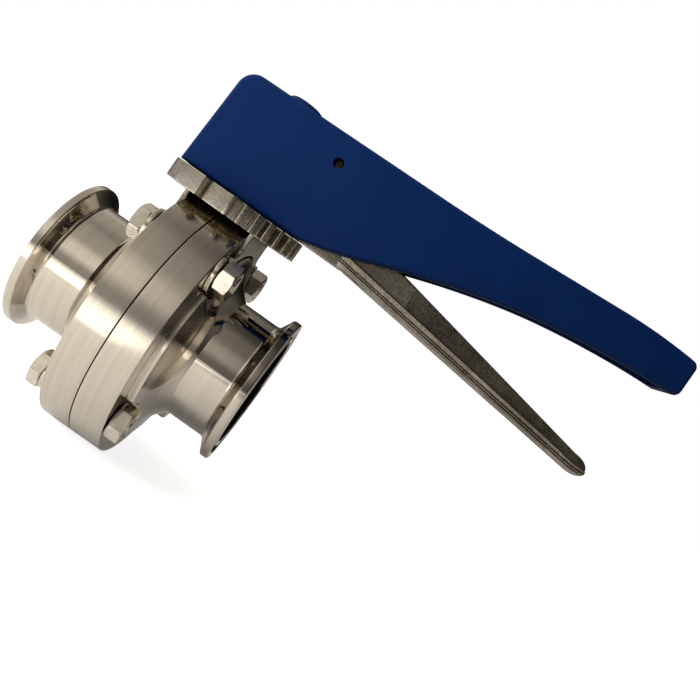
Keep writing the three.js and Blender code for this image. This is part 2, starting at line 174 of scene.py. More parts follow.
def make_object(name, points, faces):
    mesh = bpy.data.meshes.new(name)
    mesh.from_pydata([Vector(p) * MM for p in points], [], faces)
    work = bmesh.new()
    work.from_mesh(mesh)
    bmesh.ops.remove_doubles(work, verts=work.verts, dist=1e-7)
    bmesh.ops.recalc_face_normals(work, faces=work.faces)
    work.to_mesh(mesh)
    work.free()
    obj = bpy.data.objects.new(name, mesh)
    bpy.context.scene.collection.objects.link(obj)
    return obj


PLACE = {
    "x": lambda u, v, t: (t, u, v),
    "y": lambda u, v, t: (u, t, v),
    "z": lambda u, v, t: (u, v, t),
}


def lathe(name, profile, axis="x", sides=144, centre=(0, 0)):
    """Turns (radius, height) points about an axis through centre. A profile that starts
    on the axis is open and ends there too; any other closes on itself."""
    points, rings, faces = [], [], []
    for radius, height in profile:
        on_axis = radius < 1e-6
        steps = 1 if on_axis else sides
        rings.append(range(len(points), len(points) + steps))
        for i in range(steps):
            u = centre[0] + radius * math.cos(TURN * i / sides)
            v = centre[1] + radius * math.sin(TURN * i / sides)
            points.append(PLACE[axis](u, v, height))
    following = rings[1:] if profile[0][0] < 1e-6 else rings[1:] + rings[:1]
    for low, high in zip(rings, following):
        for i in range(sides):
            j = (i + 1) % sides
            loop = [low[i % len(low)], low[j % len(low)], high[j % len(high)], high[i % len(high)]]
            loop = list(dict.fromkeys(loop))
            if len(loop) > 2:
                faces.append(loop)
    return make_object(name, points, faces)


def inset(shape, distance):
    """The outline moved inwards by a distance, point for point."""
    count = len(shape)
    area = sum(shape[i - 1][0] * shape[i][1] - shape[i][0] * shape[i - 1][1] for i in range(count))
    side = 1 if area > 0 else -1
    out = []
    for i, here in enumerate(shape):
        before = (Vector(here) - Vector(shape[i - 1])).normalized()
        after = (Vector(shape[(i + 1) % count]) - Vector(here)).normalized()
        lean = (before + after).normalized()
        stretch = min(2.0, 1 / max(0.3, lean.dot(before)))
        shift = side * distance * stretch
        out.append((here[0] - lean.y * shift, here[1] + lean.x * shift))
    return out


def joined_rings(name, loops):
    """Closes a stack of equally long loops of points into one solid."""
    count = len(loops[0])
    points = [p for loop in loops for p in loop]
    faces = [list(range(count)), list(range(len(points) - count, len(points)))]
    for row in range(len(loops) - 1):
        for k in range(count):
            a, b = row * count + k, row * count + (k + 1) % count
            faces.append([a, b, b + count, a + count])
    return make_object(name, points, faces)


def prism(name, shape, low, high, axis="y", edge=0.0, steps=3):
    """A flat outline thickened along an axis, with both rims rounded by the edge radius."""
    if edge == 0:
        levels = [(0, low), (0, high)]
    else:
        angles = [math.pi / 2 * k / steps for k in range(steps + 1)]
        levels = [(edge * (1 - math.sin(a)), low + edge * (1 - math.cos(a))) for a in angles]
        levels += [(shift, low + high - height) for shift, height in reversed(levels)]
    loops = [[PLACE[axis](u, v, height) for u, v in inset(shape, shift)] for shift, height in levels]
    return joined_rings(name, loops)


def rod(name, radius, low, high, axis, centre=(0, 0), sides=64):
    return lathe(name, [(0, low), (radius, low), (radius, high), (0, high)], axis, sides, centre)


def block(name, low, high, edge=0.0):
    """A block between two corners, with its edges rounded."""
    turn = 1.8 * edge
    shape = rounded([(low[0], low[1], turn), (high[0], low[1], turn),
                     (high[0], high[1], turn), (low[0], high[1], turn)])
    return prism(name, shape, low[2], high[2], "z", edge)


def applied(obj, kind, **settings):
    """Runs one modifier and keeps its result as the object's mesh."""
    modifier = obj.modifiers.new(kind, kind)
    for key, value in settings.items():
        setattr(modifier, key, value)
    graph = bpy.context.evaluated_depsgraph_get()
    mesh = bpy.data.meshes.new_from_object(obj.evaluated_get(graph))
    obj.modifiers.clear()
    used = obj.data
    obj.data = mesh
    bpy.data.meshes.remove(used)
    return obj


def combine(obj, operation, *tools):
    for tool in tools:
        applied(obj, "BOOLEAN", operation=operation, object=tool, solver="EXACT")
        bpy.data.objects.remove(tool)
    return obj


def cut(obj, *tools):
    return combine(obj, "DIFFERENCE", *tools)


def join(obj, *tools):
    return combine(obj, "UNION", *tools)


def tidy(obj, distance=0.01):
    work = bmesh.new()
    work.from_mesh(obj.data)
    bmesh.ops.remove_doubles(work, verts=work.verts, dist=distance * MM)
    bmesh.ops.dissolve_degenerate(work, edges=work.edges, dist=distance * MM)
    work.to_mesh(obj.data)
    work.free()
    return obj


def finished(obj, material, slot, body, *nodes, sharp=34):
    """Smooth shading, material, body and the CAD nodes that the piece stands for."""
    mesh = obj.data
    mesh.polygons.foreach_set("use_smooth", [True] * len(mesh.polygons))
    mesh.set_sharp_from_angle(angle=math.radians(sharp))
    mesh.materials.clear()
    mesh.materials.append(material)
    applied(obj, "WEIGHTED_NORMAL", keep_sharp=True, weight=60)
    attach(obj, body)
    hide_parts(*nodes)
    return obj


# ------------------------------------------------------------------ materials

class Surface:
    """A Principled material and short ways to add nodes to it."""

    def __init__(self, name, **inputs):
        self.material = bpy.data.materials.new(name)
        self.material.use_nodes = True
        self.tree = self.material.node_tree
        self.shader = self.tree.nodes["Principled BSDF"]
        for key, value in inputs.items():
            self.shader.inputs[key.replace("_", " ")].default_value = value
        self.place = self.node("ShaderNodeTexCoord").outputs["Object"]

    def node(self, kind, links=None, **settings):
        made = self.tree.nodes.new(kind)
        for key, value in settings.items():
            setattr(made, key, value)
        for key, value in (links or {}).items():
            self.link(value, made.inputs[key])
        return made

    def link(self, value, socket):
        if isinstance(value, bpy.types.NodeSocket):
            self.tree.links.new(value, socket)
        else:
            socket.default_value = value

    def math(self, operation, first, second=0.0):
        return self.node("ShaderNodeMath", {0: first, 1: second}, operation=operation).outputs[0]

    def noise(self, scale, detail=3.0, roughness=0.5, where=None, distortion=0.0):
        links = {"Vector": where or self.place, "Scale": scale, "Detail": detail,
                 "Roughness": roughness, "Distortion": distortion}
        return self.node("ShaderNodeTexNoise", links).outputs["Fac"]

    def span(self, value, low, high, to_low, to_high):
        links = {"Value": value, "From Min": low, "From Max": high, "To Min": to_low, "To Max": to_high}
        return self.node("ShaderNodeMapRange", links).outputs["Result"]

    def ramp(self, value, *stops):
        node = self.node("ShaderNodeValToRGB", {"Fac": value})
        elements = node.color_ramp.elements
        while len(elements) < len(stops):
            elements.new(0.5)
        for element, (position, colour) in zip(elements, stops):
            element.position = position
            element.color = (*colour, 1)
        return node.outputs["Color"]

    def mixed(self, factor, first, second):
        links = {"Factor": factor, 6: first, 7: second}
        return self.node("ShaderNodeMix", links, data_type="RGBA").outputs[2]

    def radius_from_pipe(self):
        """Distance from the pipe's axis, and the place along it."""
        parts = self.node("ShaderNodeSeparateXYZ", {0: self.place}).outputs
        flat = self.node("ShaderNodeCombineXYZ", {"X": parts["Y"], "Y": parts["Z"]}).outputs[0]
        length = self.node("ShaderNodeVectorMath", {0: flat}, operation="LENGTH").outputs["Value"]
        return length, parts["X"]

    def rings(self, scale, detail=4.0):
        """Noise that only changes across the lathe's turning marks."""
        radius, along = self.radius_from_pipe()
        where = self.node("ShaderNodeCombineXYZ", {"X": radius, "Y": along}).outputs[0]
        return self.noise(scale, detail, 0.65, where)

    def bump(self, height, strength, depth):
        links = {"Height": height, "Strength": strength, "Distance": depth * MM}
        if self.shader.inputs["Normal"].is_linked:
            links["Normal"] = self.shader.inputs["Normal"].links[0].from_socket
        self.link(self.node("ShaderNodeBump", links).outputs["Normal"], self.shader.inputs["Normal"])

    def set(self, **inputs):
        for key, value in inputs.items():
            self.link(value, self.shader.inputs[key.replace("_", " ")])
        return self.material


def turned_steel(name, tint, polished, anisotropy):
    """Stainless steel from the lathe: rings of fine marks about the pipe's axis. The polish
    fades to satin over the polished range of radii, in millimetres."""
    steel = Surface(name, Metallic=1.0, Anisotropic=anisotropy, Anisotropic_Rotation=0.25)
    marks = steel.rings(5200)
    broad = steel.rings(900, 2.0)
    smudge = steel.noise(60, 3.0, 0.6)
    radius, _ = steel.radius_from_pipe()
    satin = steel.span(radius, polished[0] * MM, polished[1] * MM + 1e-6, 0.42, 1.0)
    fine = steel.span(marks, 0.3, 0.7, 0.11, 0.18)
    grain = steel.math("ADD", fine, steel.span(smudge, 0.4, 0.7, 0.0, 0.05))
    rough = steel.math("MULTIPLY", grain, satin)
    shade = steel.ramp(broad, (0.35, [c * 0.9 for c in tint]), (0.65, tint))
    dull = (*[c * 0.8 for c in tint], 1)
    aged = steel.mixed(steel.span(smudge, 0.45, 0.75, 0.0, 0.35), shade, dull)
    steel.bump(marks, 0.12, 0.01)
    steel.bump(broad, 0.1, 0.012)
    tangent = steel.node("ShaderNodeTangent", direction_type="RADIAL", axis="X")
    return steel.set(Base_Color=aged, Roughness=rough, Tangent=tangent.outputs[0])


def cast_steel(name, tint, dark, grain, depth, gloss):
    """Bead blasted investment casting, rubbed bright along its edges. The gloss is its
    lowest and highest roughness."""
    steel = Surface(name, Metallic=1.0)
    pits = steel.noise(grain, 4.0, 0.6)
    links = {"Vector": steel.place, "Scale": grain * 0.8}
    cells = steel.node("ShaderNodeTexVoronoi", links).outputs["Distance"]
    stain = steel.noise(90, 4.0, 0.62, distortion=0.4)
    edge = steel.node("ShaderNodeNewGeometry").outputs["Pointiness"]
    rubbed = steel.span(edge, 0.52, 0.6, 0.0, 1.0)
    skin = steel.ramp(stain, (0.38, dark), (0.62, tint))
    speck = steel.mixed(steel.span(pits, 0.42, 0.66, 0.0, 0.55), skin, (*[c * 0.55 for c in dark], 1))
    bright = steel.mixed(rubbed, speck, (*[min(1, c * 1.25) for c in tint], 1))
    worn = steel.span(rubbed, 0, 1, 0.0, 0.12)
    rough = steel.math("SUBTRACT", steel.span(pits, 0.35, 0.7, *gloss), worn)
    steel.bump(pits, 0.55, depth)
    steel.bump(cells, 0.3, depth * 0.6)
    return steel.set(Base_Color=bright, Roughness=rough)


def fastener_steel(name, tint):
    """Cold formed bolts and nuts: semi bright with drawn streaks and small dents."""
    steel = Surface(name, Metallic=1.0)
    stretch = steel.node("ShaderNodeMapping", {"Vector": steel.place, "Scale": (0.18, 1, 1)}).outputs[0]
    streaks = steel.noise(2600, 3.0, 0.6, stretch)
    dents = steel.noise(420, 2.0, 0.5)
    edge = steel.node("ShaderNodeNewGeometry").outputs["Pointiness"]
    shade = steel.ramp(dents, (0.4, [c * 0.82 for c in tint]), (0.62, tint))
    polished = (*[min(1, c * 1.2) for c in tint], 1)
    bright = steel.mixed(steel.span(edge, 0.52, 0.62, 0.0, 0.8), shade, polished)
    steel.bump(dents, 0.2, 0.03)
    steel.bump(streaks, 0.12, 0.01)
    rough = steel.span(streaks, 0.3, 0.7, 0.12, 0.26)
    return steel.set(Base_Color=bright, Roughness=rough)


def moulded_plastic(name, tint, worn):
    """Navy plastic with a fine spark texture, slightly paler where hands rub its edges."""
    plastic = Surface(name, Specular_IOR_Level=0.09)
    spark = plastic.noise(2600, 2.0, 0.5)
    cloud = plastic.noise(35, 3.0, 0.6)
    scuff = plastic.noise(500, 5.0, 0.7)
    edge = plastic.node("ShaderNodeNewGeometry").outputs["Pointiness"]
    along_edges = plastic.span(edge, 0.52, 0.62, 0.0, 0.7)
    rubbed = plastic.math("MULTIPLY", along_edges, plastic.span(scuff, 0.4, 0.7, 0.3, 1.0))
    base = plastic.ramp(cloud, (0.35, [c * 0.85 for c in tint]), (0.7, tint))
    colour = plastic.mixed(rubbed, base, (*worn, 1))
    fine = plastic.span(spark, 0.3, 0.7, 0.42, 0.52)
    rough = plastic.math("ADD", fine, plastic.span(cloud, 0.3, 0.7, 0.0, 0.06))
    plastic.bump(spark, 0.22, 0.02)
    return plastic.set(Base_Color=colour, Roughness=rough)


def soft_polymer(name, tint, rough, scatter):
    """Seat silicone and bearing polymer: milky, with faint moulding or turning marks."""
    polymer = Surface(name, Subsurface_Weight=scatter, Subsurface_Scale=0.002)
    marks = polymer.noise(700, 3.0, 0.55)
    haze = polymer.noise(50, 2.0, 0.5)
    colour = polymer.ramp(haze, (0.35, [c * 0.9 for c in tint]), (0.65, tint))
    polymer.bump(marks, 0.2, 0.02)
    varied = polymer.span(marks, 0.3, 0.7, rough - 0.08, rough + 0.08)
    return polymer.set(Base_Color=colour, Roughness=varied)


WARM_STEEL = (0.68, 0.63, 0.55)
body_steel = turned_steel("body_steel", WARM_STEEL, polished=(21.5, 31), anisotropy=0.4)
disc_steel = turned_steel("disc_steel", WARM_STEEL, polished=(0, 60), anisotropy=0.2)
plate_steel = cast_steel(
    "plate_steel", (0.76, 0.71, 0.62), (0.52, 0.475, 0.39), grain=1200, depth=0.018, gloss=(0.1, 0.24),
)
lever_steel = cast_steel(
    "lever_steel", (0.46, 0.42, 0.35), (0.27, 0.24, 0.195), grain=1100, depth=0.035, gloss=(0.16, 0.32),
)
bolt_steel = fastener_steel("bolt_steel", (0.76, 0.71, 0.63))
pin_steel = fastener_steel("pin_steel", (0.06, 0.055, 0.05))
navy_plastic = moulded_plastic("navy_plastic", (0.001, 0.0115, 0.064), (0.005, 0.026, 0.1))
seat_silicone = soft_polymer("seat_silicone", (0.74, 0.72, 0.67), 0.45, 0.2)
bearing_polymer = soft_polymer("bearing_polymer", (0.82, 0.81, 0.78), 0.4, 0.1)


# ------------------------------------------------------------------ body halves and seat

def half_profile():
    """Section of one body half, as (radius, distance from the parting plane): from the seat
    pocket over flange, neck, tube and ferrule to the gasket groove and back along the bore."""
    rim = FACE - 2.7
    pocket_r = SEAT_R + POCKET_GAP
    pocket = SEAT_HALF + POCKET_GAP
    outside = rounded([
        (pocket_r, PARTING, 0),
        (FLANGE_R, PARTING, 0.15),
        (FLANGE_R, FLANGE_FACE, 0.4),
        (NECK_R, FLANGE_FACE, 0.3),
        (NECK_R, NECK_STEP, 0.25),
        (NECK_R - 0.9, NECK_STEP + 0.05, 0),
    ], closed=False, steps=4)
    neck_start = (NECK_R - 1, NECK_STEP + 0.06)
    neck = bezier(neck_start, (TUBE_R + 4, NECK_STEP + 1), (TUBE_R, NECK_END), 16)[1:]
    ferrule = rounded([
        (TUBE_R, NECK_END + 2, 0),
        (TUBE_R, rim - 2.4, 1.6),
        (FERRULE_R - 0.4, rim - 0.1, 0.3),
        (FERRULE_R, rim + 0.3, 0.5),
        (FERRULE_R, FACE, 0.45),
        (23.2, FACE, 0.15),
        (22.5, FACE - GASKET_DEPTH, 0.5),
        (21, FACE - GASKET_DEPTH, 0.5),
        (20.3, FACE, 0.15),
        (BORE_R, FACE, 0.3),
        (BORE_R, pocket, 0.25),
        (pocket_r, pocket, 0),
    ], closed=False, steps=4)
    return outside + neck + ferrule


def spot_face(y, z):
    """End mill cut that clears the nut or the bolt head from the neck."""
    depth = FLANGE_FACE - 0.06
    cutter_r = 6.9
    floor_to_wall = [(5, depth, 0), (cutter_r, depth, 0.45), (cutter_r, NECK_END, 0)]
    profile = [(0, depth), *rounded(floor_to_wall, closed=False), (0, NECK_END)]
    return lathe("spot_face", profile, "x", 72, (y, z))


def body_half(side):
    name = "body_right" if side > 0 else "body_left"
    half = lathe(name + "_turned", half_profile(), "x", 168)
    places = [(y, z) for y in (-BOLT_Y, BOLT_Y) for z in (-BOLT_Z, BOLT_Z)]
    cut(half, *[spot_face(y, z) for y, z in places])
    cut(half, *[rod("bolt_hole", BOLT_HOLE_R, -1, FLANGE_FACE + 2, "x", (y, z), 40) for y, z in places])
    cut(half, rod("upper_hole", STEM_HOLE_R, 20, FLANGE_R + 2, "z"))
    cut(half, rod("lower_hole", STEM_HOLE_R, disc_lo[2] - 1.6, -20, "z"))
    tidy(half, 0.02)
    if side < 0:
        half.data.transform(Matrix.Rotation(math.pi, 4, "Z"))
    return finished(half, body_steel, "polished_steel", "valve_body", name, sharp=28)


def seat_ring():
    profile = rounded([
        (BORE_R + 0.5, -SEAT_HALF, 0.3), (SEAT_R, -SEAT_HALF, 0.4), (SEAT_R, SEAT_HALF, 0.4),
        (BORE_R + 0.5, SEAT_HALF, 0.3), (BORE_R, SEAT_HALF - 2, 2), (BORE_R, 2 - SEAT_HALF, 2),
    ])
    ring = lathe("seat_ring_liner", profile, "x", 144)
    cut(ring, rod("stem_way", STEM_R + 0.12, -30, 30, "z"))
    return finished(ring, seat_silicone, "silicone", "valve_body", "seat_ring")


def bushing(node):
    low, high = box_mm(node)
    inner = STEM_R + 0.1
    profile = rounded([
        (inner, low[2], 0.15), (high[0], low[2], 0.25), (high[0], high[2], 0.25), (inner, high[2], 0.15),
    ])
    ring = lathe(node + "_turned", profile, "z", 72)
    return finished(ring, bearing_polymer, "white_polymer", "valve_body", node)


def stem_seal():
    low, high = box_mm("stem_seal")
    wire = (high[2] - low[2]) / 2
    profile = arc(high[0] - wire, (low[2] + high[2]) / 2, wire, 0, 337.5, 15)
    ring = lathe("stem_seal_ring", profile, "z", 72)
    return finished(ring, seat_silicone, "silicone", "handle", "stem_seal")


# ------------------------------------------------------------------ disc and stem

def disc_and_stem():
    """Lens shaped disc with a polished rim, on a stem that ends in a square drive."""
    bottom, top = disc_lo[2], disc_hi[2]
    square_start = 47.4
    groove = 4.4
    stem = lathe("stem_turned", [(0, bottom), *rounded([
        (4, bottom, 0), (STEM_R, bottom, 0.5), (STEM_R, 36, 0.2), (groove, 36, 0.2), (groove, 38, 0.2),
        (STEM_R, 38, 0.2), (STEM_R, square_start, 0.5), (3, square_start, 0),
    ], closed=False), (0, square_start)], "z", 96)
    rim_r = 0.7
    crown = [(0, 4.6), *bezier((4, 4.4), (12, 3.4), (17.2, 1.5), 8)]
    rim = arc(DISC_R - rim_r, 0, rim_r, 70, -70, 10)
    face = crown + rim + [(r, -h) for r, h in reversed(crown)]
    disc = lathe("disc_turned", face, "y", 128)
    square = block("square", (-4, -4, square_start - 2), (4, 4, top), 0.4)
    join(stem, disc, square)
    cut(stem, rod("tapping", 2.6, top - 15, top + 1, "z"))
    return finished(stem, disc_steel, "polished_steel", "handle", "disc_and_stem")


# ------------------------------------------------------------------ index plate

TOOTH_TIP = 23.4
NOTCH_FLOOR = 20.6
PLAIN_RIM = 22.8
TEETH = 8
PITCH = 90 / TEETH


def polar(radius, angle):
    return radius * math.cos(math.radians(angle)), radius * math.sin(math.radians(angle))


def rim_arc(radius, start, end, step=3):
    count = max(1, round(abs(end - start) / step))
    return [(*polar(radius, start + (end - start) * i / count), 0) for i in range(count + 1)]


def corner(radius, angle, fillet):
    return (*polar(radius, angle), fillet)


def tooth(centre):
    return [corner(NOTCH_FLOOR, centre + 2.6, 0.35), corner(TOOTH_TIP, centre + 1.7, 0.45),
            corner(TOOTH_TIP, centre - 1.7, 0.45), corner(NOTCH_FLOOR, centre - 2.6, 0.35)]


def plate_outline():
    corners = [corner(TOOTH_TIP, 44, 2), *rim_arc(TOOTH_TIP, 41, 20), corner(TOOTH_TIP, 18, 0.5)]
    corners += [corner(NOTCH_FLOOR, 16.4, 0.5), *rim_arc(NOTCH_FLOOR, 14, 9), corner(NOTCH_FLOOR, 8, 0)]
    for i in range(TEETH):
        corners += tooth(-PITCH * (i + 0.5))
    corners += [*rim_arc(NOTCH_FLOOR, -95, -104), corner(NOTCH_FLOOR, -106, 0.8)]
    lug = TOOTH_TIP + 0.4
    corners += [corner(lug, -108, 0.6), *rim_arc(lug, -110, -131), corner(TOOTH_TIP + 0.3, -133, 1)]
    corners += rim_arc(PLAIN_RIM, -136, -314)
    return rounded(corners, steps=4)


def leg_outline():
    """One leg of the saddle in (y, z), down to the ears round the upper bolts."""
    ear_r, inner_r, half, shoulder = 6.3, NECK_R + 0.6, 16.5, 32.5
    spread = math.hypot(BOLT_Y, BOLT_Z)
    reach = (spread ** 2 + ear_r ** 2 - inner_r ** 2) / (2 * spread * ear_r)
    meet = 135 + math.degrees(math.acos(reach))
    ear = arc(BOLT_Y, BOLT_Z, ear_r, 90, -meet, 30)
    turn = math.degrees(math.atan2(ear[-1][0], ear[-1][1]))
    inner = arc(0, 0, inner_r, 90 - turn, 90 + turn, 24)[1:-1]
    other = [(-y, z) for y, z in reversed(ear)]
    ear_top = BOLT_Z + ear_r
    neck = [(half, PLATE_UNDERSIDE + 1.5)]
    neck += bezier((half, shoulder + 1.5), (half + 0.3, ear_top), (BOLT_Y - 2.5, ear_top), 6)
    return neck + ear + inner + other + [(-y, z) for y, z in reversed(neck)]


def index_plate():
    plate = prism("index_plate_cast", plate_outline(), PLATE_UNDERSIDE, plate_top, "z", 0.3)
    cut(plate, rod("flange_relief", FLANGE_R + 0.4, -10.7, 10.7, "x", sides=160))
    for low, high in ((LEG_INNER, LEG_OUTER), (-LEG_OUTER, -LEG_INNER)):
        join(plate, prism("leg", leg_outline(), low, high, "x", 0.3))
    cut(plate, rod("stem_way", STEM_R + 0.8, PLATE_UNDERSIDE - 3, plate_top + 1, "z"))
    cut(plate, *[rod("ear_hole", BOLT_HOLE_R, -20, 20, "x", (y, BOLT_Z)) for y in (-BOLT_Y, BOLT_Y)])
    tidy(plate)
    return finished(plate, plate_steel, "cast_steel", "valve_body", "index_plate")


# ------------------------------------------------------------------ handle and drive

def grip_outline():
    """Side view of the moulded grip in (x, z)."""
    underside = bezier((20, HANDLE_BOTTOM), (30, 47.2), (42, 52), 10)
    underside += bezier((42, 52), (72, 63.6), (96, 68), 12)[1:]
    underside += bezier((96, 68), (118, 71.9), (138.6, 72.6), 8)[1:-1]
    top = bezier((136, 84.8), (124, 85.5), (112, 84.5), 8) + bezier((78, 81.9), (62, 80.8), (48, 80.4), 6)
    corners = [(handle_lo[0], HANDLE_BOTTOM, 0), *[(x, z, 0) for x, z in underside]]
    corners += [(handle_hi[0], 72.7, 2.4), (140.45, 84.5, 2.6), *[(x, z, 0) for x, z in top]]
    corners += [(14, 79.4, 0), (-18.3, 78.6, 5.6)]
    return rounded(corners, steps=8)


def smoothstep(value):
    value = min(1, max(0, value))
    return value * value * (3 - 2 * value)


def tapered(obj):
    """Slims the grip towards its tip. The side faces are sliced first, so they bend evenly."""
    start, end, loss = 20, 145, 2
    work = bmesh.new()
    work.from_mesh(obj.data)
    for x in range(start, int(handle_hi[0]), 8):
        everything = work.verts[:] + work.edges[:] + work.faces[:]
        bmesh.ops.bisect_plane(work, geom=everything, plane_co=(x * MM, 0, 0), plane_no=(1, 0, 0))
    for vert in work.verts:
        x = vert.co.x / MM
        vert.co.y *= 1 - loss / HALF_WIDTH * smoothstep((x - start) / (end - start))
    work.to_mesh(obj.data)
    work.free()
    return obj


def pin_hole():
    """Cross hole of the trigger pin, with a chamfered mouth on either side of the grip."""
    tight, mouth, wide = PIN_R + 0.1, 1.75, 2.1
    profile = [(0, -12), (wide, -12), (mouth, -HALF_WIDTH), (tight, 0.2 - HALF_WIDTH),
               (tight, HALF_WIDTH - 0.2), (mouth, HALF_WIDTH), (wide, 12), (0, 12)]
    return lathe("pin_hole", profile, "y", 48, (pin_x, pin_z))


def handle_body():
    grip = prism("handle_grip", grip_outline(), -HALF_WIDTH, HALF_WIDTH, "y", 1.4, 5)
    tapered(grip)
    channel = rounded([
        (HUB_HALF + 1.6, HANDLE_BOTTOM - 2, 0), (56, 48, 0), (136, 66, 0), (136, 80.8, 2),
        (60, 77.2, 0), (HUB_HALF + 1.6, 77.2, 1.5),
    ])
    channel_half = 6.6
    gap = 0.15
    pocket = HUB_HALF + gap
    cut(
        grip,
        prism("channel", channel, -channel_half, channel_half, "y", 0.6),
        block("hub_pocket", (-pocket, -pocket, HANDLE_BOTTOM - 2), (pocket, pocket, HUB_TOP + gap)),
        rod("screw_pocket", 6.4, HUB_TOP - 1, 90, "z"),
        pin_hole(),
    )
    tidy(grip)
    return finished(grip, navy_plastic, "blue_plastic", "handle", "handle_body")


def screw_cap():
    low, high = box_mm("screw_cap")
    shoulder = 79.9
    outside = [
        (3, low[2], 0), (high[0], low[2], 0.3), (high[0], shoulder, 0.5), (5, 81, 1.5), (0, high[2], 0),
    ]
    profile = [(0, low[2]), *rounded(outside, closed=False)]
    cap = lathe("screw_cap_plug", profile, "z", 96)
    return finished(cap, navy_plastic, "blue_plastic", "handle", "screw_cap")


def drive_hub():
    hub = block("drive_hub_cast", hub_lo, hub_hi, 0.6)
    hole = 4.15
    cut(hub, block("square_way", (-hole, -hole, hub_lo[2] - 1), (hole, hole, hub_hi[2] + 1)),
        rod("stem_seat", STEM_R + 0.4, hub_lo[2] - 1, 48, "z"))
    return finished(hub, plate_steel, "cast_steel", "handle", "drive_hub")


# ------------------------------------------------------------------ fasteners

HEX_FLATS = 10
HEAD_HEIGHT = 4
THREAD_PITCH = 1


def hex_solid(name, low, high):
    """Hexagon along X between two places, with turned chamfers on both faces."""
    point = HEX_FLATS / math.sqrt(3)
    corners = [(point * math.cos(TURN * i / 6), point * math.sin(TURN * i / 6), 0.35) for i in range(6)]
    hexagon = prism(name, rounded(corners, steps=4), low, high, "x")
    flat, lift = HEX_FLATS / 2 - 0.25, 0.75
    clear = point + 0.2
    profile = [(0, low + 0.01), (flat - 0.15, low + 0.01), (flat, low + 0.06), (clear, low + lift),
               (clear, high - lift), (flat, high - 0.06), (flat - 0.15, high - 0.01), (0, high - 0.01)]
    return combine(hexagon, "INTERSECT", lathe("chamfer", profile, "x", 96))


def thread_depth(turns):
    """Rounded V of the thread, 0 on the crest and 1 in the root."""
    return smoothstep((abs(turns % 1 - 0.5) * 2 - 0.1) / 0.8)


def threaded_rod(name, low, high, thread_from, sides=40):
    """A plain shank that carries a real helical thread up to a chamfered end."""
    rows = [low, thread_from - 0.3]
    steps = round((high - thread_from) / (THREAD_PITCH / 10))
    rows += [thread_from + (high - thread_from) * i / steps for i in range(steps + 1)]
    loops = []
    for x in rows:
        loop = []
        for i in range(sides):
            radius = M6_R - 0.02
            if x > thread_from:
                radius -= 0.56 * thread_depth(x / THREAD_PITCH + i / sides)
            radius = min(radius, 2.35 + high - x)
            loop.append((x, radius * math.cos(TURN * i / sides), radius * math.sin(TURN * i / sides)))
        loops.append(loop)
    return joined_rings(name, loops)


def spring_washer(name, low, high):
    """A split ring of square wire whose ends stand slightly apart."""
    inner, outer, rise = M6_R + 0.15, 5.1, 0.18
    corners = [(inner, low, 0.15), (outer, low, 0.25), (outer, high, 0.25), (inner, high, 0.15)]
    section = rounded(corners, steps=3)
    steps, gap = 72, 7
    loops = []
    for i in range(steps + 1):
        angle = math.radians(gap + (360 - 2 * gap) * i / steps)
        lean = rise * (i / steps - 0.5)
        loops.append([(min(high, max(low, x + lean)), radius * math.cos(angle), radius * math.sin(angle))
                      for radius, x in section])
    return joined_rings(name, loops)


def moved(obj, y, z, turn):
    obj.data.transform(Matrix.Translation((0, y * MM, z * MM)) @ Matrix.Rotation(turn, 4, "X"))
    return obj


# How far each bolt happens to be turned, in radians.
BOLT_SPIN = {"upper_front": 0.35, "upper_back": 0.9, "lower_front": 0.12, "lower_back": 0.6}


def flange_fasteners(place):
    """One bolt and nut, each turned by its own amount. The lower ones have a spring washer."""
    _, y, z = middle("nut_" + place)
    spin = BOLT_SPIN[place]
    bolt_lo, bolt_hi = box_mm("bolt_" + place)
    nut_lo, nut_hi = box_mm("nut_" + place)
    head_back = bolt_lo[0] + HEAD_HEIGHT
    bolt = hex_solid("head", bolt_lo[0], head_back)
    bolt.name = "bolt_" + place + "_m6"
    shank = threaded_rod("shank", head_back - 1, bolt_hi[0], nut_lo[0] - 4)
    join(bolt, shank)
    finished(moved(bolt, y, z, spin), bolt_steel, "fastener_steel", "valve_body", "bolt_" + place)
    nut = hex_solid("nut_" + place + "_m6", nut_lo[0], nut_hi[0])
    tight, mouth = M6_R + 0.02, 4.1
    bore = [(0, nut_lo[0] - 1), (mouth, nut_lo[0] - 1), (tight, nut_lo[0] + 0.3),
            (tight, nut_hi[0] - 0.3), (mouth, nut_hi[0] + 1), (0, nut_hi[0] + 1)]
    cut(nut, lathe("nut_bore", bore, "x", 56))
    finished(moved(nut, y, z, spin * 1.7), bolt_steel, "fastener_steel", "valve_body", "nut_" + place)
    if place.startswith("lower"):
        washer_lo, washer_hi = box_mm("lock_washer_" + place)
        washer = spring_washer("spring_washer_" + place, washer_lo[0], washer_hi[0])
        moved(washer, y, z, spin + 1.2)
        finished(washer, bolt_steel, "fastener_steel", "valve_body", "lock_washer_" + place)


def head_fasteners():
    """Screw and washer that hold the grip on the stem, under the cap."""
    low, high = box_mm("head_screw")
    base = high[2] - HEAD_HEIGHT
    screw = hex_solid("head_screw_m6", -high[2], -base)
    join(screw, threaded_rod("shank", -base - 1, -low[2], -low[2] - 9))
    screw.data.transform(Matrix.Rotation(math.pi / 2, 4, "Y"))
    finished(screw, bolt_steel, "fastener_steel", "handle", "head_screw")
    low, high = box_mm("head_washer")
    inner = M6_R + 0.2
    section = [(inner, low[2], 0.1), (high[0], low[2], 0.3), (high[0], high[2], 0.3), (inner, high[2], 0.1)]
    washer = lathe("head_washer_flat", rounded(section), "z", 72)
    finished(washer, bolt_steel, "fastener_steel", "handle", "head_washer")


# ------------------------------------------------------------------ trigger, pin and spring

ARM_START = 35.2
ARM_END = 128.5
ARM_BOTTOM_DROP = 10.17
ARM_TOP_START = 54
ARM_TOP_DROP = 13.87
EYE_R = 4.3
EYE_HALF = 5.6
WEB_HALF = 2.6
NOSE_LIFT = 10.1


